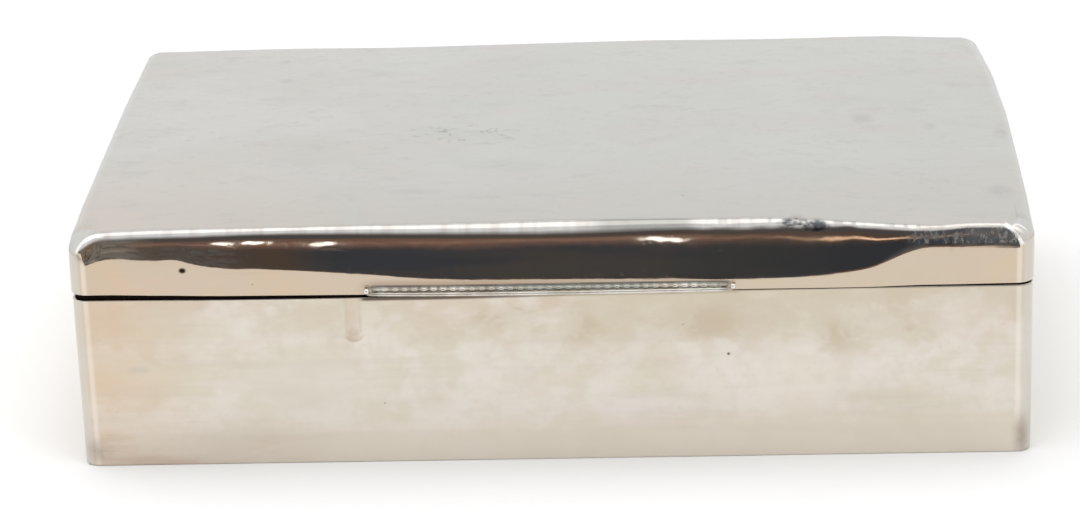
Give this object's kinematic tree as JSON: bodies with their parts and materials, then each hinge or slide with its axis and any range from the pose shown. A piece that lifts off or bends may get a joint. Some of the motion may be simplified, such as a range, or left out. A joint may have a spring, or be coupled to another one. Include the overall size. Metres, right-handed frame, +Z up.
{
  "type": "silverware chest",
  "caption": "Low rectangular silver table chest with a hinged crowned lid, beaded thumb piece, cedar lining and cloth-covered racks for flatware",
  "frame": {"origin": "middle of the case's footprint, on the table", "axes": "+X along the length to the chest's right as seen from the front, -Y to the front, +Z up"},
  "size_m": [0.2606, 0.166, 0.07],
  "materials": {
    "silver": "polished",
    "pin_silver": "satin",
    "cedar": "satin",
    "flannel": "matte",
    "baize": "matte"
  },
  "bodies": {
    "case": {"case_wall": "silver", "base_plate": "silver", "hinge_bearer_body": "silver", "hinge_knuckles_body": "silver", "hinge_pin": "pin_silver", "base_felt": "baize", "lining_floor": "cedar", "lining_front": "cedar", "lining_back": "cedar", "lining_left": "cedar", "lining_right": "cedar", "well_panel_floor": "flannel", "well_panel_front": "flannel", "well_panel_back": "flannel", "well_panel_left": "flannel", "well_panel_right": "flannel", "rack_left": "flannel", "rack_right": "flannel"},
    "lid": {"lid_shell": "silver", "thumb_piece": "silver", "thumb_piece_beading": "silver", "thumb_piece_end_balls": "silver", "hinge_bearer_lid": "silver", "hinge_knuckles_lid": "silver", "lid_frame_front": "cedar", "lid_frame_back": "cedar", "lid_frame_left": "cedar", "lid_frame_right": "cedar", "lid_board": "cedar", "lid_pad": "flannel"}
  },
  "joints": [
    {"name": "lid_hinge", "type": "hinge", "parent": "case", "child": "lid", "pos_m": [0, 0.08155, 0.04915], "axis": [-1, 0, 0], "range_deg": [0, 98]}
  ]
}
